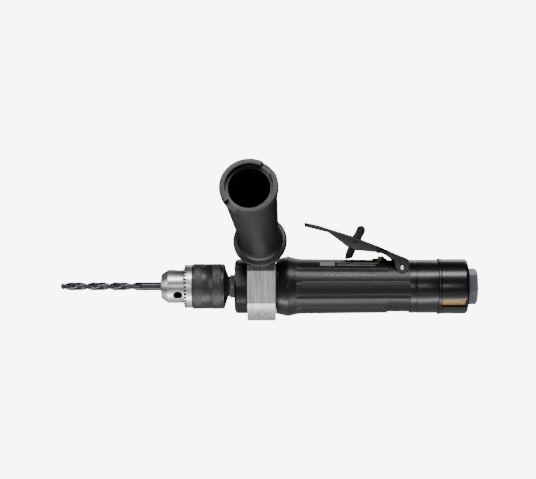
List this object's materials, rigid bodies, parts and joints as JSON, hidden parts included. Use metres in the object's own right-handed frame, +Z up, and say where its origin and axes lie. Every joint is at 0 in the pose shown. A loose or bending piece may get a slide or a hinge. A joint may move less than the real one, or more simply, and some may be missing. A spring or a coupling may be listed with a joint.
{
  "type": "straight pneumatic drill",
  "caption": "Straight air drill with keyed chuck and twist drill, side handle in a clamp ring, lever throttle with lock-off, turning exhaust sleeve and threaded air inlet.",
  "frame": {"origin": "centre of the mouth of the air inlet thread, on the tool axis", "axes": "+X out of the air inlet (the drill bit points to -X), +Z up through the throttle lever, -Y towards the side handle"},
  "size_m": [0.3554, 0.1798, 0.1315],
  "materials": {
    "blackened_steel": "satin",
    "black_paint": "matte",
    "steel": "machined",
    "bearing_steel": "polished",
    "bright_steel": "polished",
    "gunmetal": "satin",
    "grey_steel": "satin",
    "black_oxide": "black oxide",
    "lever_steel": "matte",
    "aluminium": "brushed",
    "bronze": "sintered",
    "brass": "machined",
    "black_plastic": "satin",
    "handle_black": "matte",
    "vane": "matte"
  },
  "bodies": {
    "housing": {"front_collar": "blackened_steel", "gear_case": "black_paint", "ring_gear": "steel", "grip_housing": "black_paint", "valve_housing": "black_paint", "motor_cylinder": "steel", "front_plate": "steel", "rear_plate": "steel", "spindle_race": "bearing_steel", "spindle_balls": "bearing_steel", "front_race": "bearing_steel", "rear_race": "bearing_steel", "stop_ring": "black_plastic", "silencer_core": "bronze", "inlet_bushing": "grey_steel", "valve_bushing": "black_plastic", "valve_spring": "bearing_steel", "lever_pin": "bearing_steel"},
    "spindle_set": {"spindle": "grey_steel", "planet_pins": "bearing_steel", "chuck_body": "bright_steel"},
    "rotor_set": {"rotor": "steel", "vanes": "vane"},
    "planet_gear_1": {"planet_1": "steel"},
    "planet_gear_2": {"planet_2": "steel"},
    "planet_gear_3": {"planet_3": "steel"},
    "chuck_ring": {"chuck_sleeve": "gunmetal", "crown_ring": "bright_steel", "jaw_nut": "steel"},
    "jaw_a": {"jaw_1": "steel"},
    "jaw_b": {"jaw_2": "steel"},
    "jaw_c": {"jaw_3": "steel"},
    "drill": {"drill_bit": "black_oxide"},
    "exhaust": {"exhaust_sleeve": "black_plastic"},
    "clamp_ring": {"handle_clamp": "aluminium"},
    "handle": {"handle_stud": "steel", "side_handle": "handle_black"},
    "lever": {"throttle_lever": "lever_steel", "lockoff_rivet": "bearing_steel"},
    "lock_off": {"lockoff_lever": "lever_steel"},
    "plunger": {"throttle_plunger": "brass"}
  },
  "joints": [
    {"name": "spindle_spin", "type": "hinge", "parent": "housing", "child": "spindle_set", "pos_m": [-0.2, 0, 0], "axis": [1, 0, 0], "continuous": true},
    {"name": "rotor_spin", "type": "hinge", "parent": "housing", "child": "rotor_set", "pos_m": [-0.13, 0, 0], "axis": [1, 0, 0], "continuous": true},
    {"name": "planet_spin_1", "type": "hinge", "parent": "spindle_set", "child": "planet_gear_1", "pos_m": [-0.175, 0.009, 0], "axis": [1, 0, 0], "continuous": true},
    {"name": "planet_spin_2", "type": "hinge", "parent": "spindle_set", "child": "planet_gear_2", "pos_m": [-0.175, -0.0045, 0.00779], "axis": [1, 0, 0], "continuous": true},
    {"name": "planet_spin_3", "type": "hinge", "parent": "spindle_set", "child": "planet_gear_3", "pos_m": [-0.175, -0.0045, -0.00779], "axis": [1, 0, 0], "continuous": true},
    {"name": "chuck_turn", "type": "hinge", "parent": "spindle_set", "child": "chuck_ring", "pos_m": [-0.23, 0, 0], "axis": [1, 0, 0], "range_deg": [0, 240]},
    {"name": "jaw_slide_a", "type": "slide", "parent": "spindle_set", "child": "jaw_a", "axis": [0.9659, -0.2294, 0.1199], "range_m": [0, 0.002]},
    {"name": "jaw_slide_b", "type": "slide", "parent": "spindle_set", "child": "jaw_b", "axis": [0.9659, 0.2185, 0.1387], "range_m": [0, 0.002]},
    {"name": "jaw_slide_c", "type": "slide", "parent": "spindle_set", "child": "jaw_c", "axis": [0.9659, 0.0108, -0.2586], "range_m": [0, 0.002]},
    {"name": "drill_pull", "type": "slide", "parent": "spindle_set", "child": "drill", "axis": [-1, 0, 0], "range_m": [0, 0.03]},
    {"name": "exhaust_turn", "type": "hinge", "parent": "housing", "child": "exhaust", "pos_m": [-0.02, 0, 0], "axis": [1, 0, 0], "continuous": true},
    {"name": "clamp_turn", "type": "hinge", "parent": "housing", "child": "clamp_ring", "pos_m": [-0.184, 0, 0], "axis": [1, 0, 0], "range_deg": [-40, 40]},
    {"name": "handle_spin", "type": "hinge", "parent": "clamp_ring", "child": "handle", "pos_m": [-0.182, 0.00919, 0.02485], "axis": [-0.0593, -0.9362, 0.3463], "range_deg": [0, 180]},
    {"name": "lever_press", "type": "hinge", "parent": "housing", "child": "lever", "pos_m": [-0.0647, 0, 0.0165], "axis": [0, -1, 0], "range_deg": [0, 11], "stiffness_Nm_per_rad": 1.2, "springref_deg": -11.46},
    {"name": "lock_off_turn", "type": "hinge", "parent": "lever", "child": "lock_off", "pos_m": [-0.1041, 0, 0.0385], "axis": [0, 1, 0], "range_deg": [0, 71.6]},
    {"name": "plunger_push", "type": "slide", "parent": "housing", "child": "plunger", "axis": [0, 0, -1], "range_m": [0, 0.001], "deforming": ["valve_spring"]}
  ],
  "couplings": [
    {"joint": "rotor_spin", "follows": "spindle_spin", "ratio": 6},
    {"joint": "planet_spin_1", "follows": "spindle_spin", "ratio": -2.5},
    {"joint": "planet_spin_2", "follows": "spindle_spin", "ratio": -2.5},
    {"joint": "planet_spin_3", "follows": "spindle_spin", "ratio": -2.5},
    {"joint": "jaw_slide_b", "follows": "jaw_slide_a", "ratio": 1},
    {"joint": "jaw_slide_c", "follows": "jaw_slide_a", "ratio": 1},
    {"joint": "chuck_turn", "follows": "jaw_slide_a", "rad_per_m": 2092.3},
    {"joint": "lever_press", "follows": "plunger_push", "rad_per_m": 191},
    {"joint": "lock_off_turn", "follows": "plunger_push", "rad_per_m": 1241.5}
  ]
}
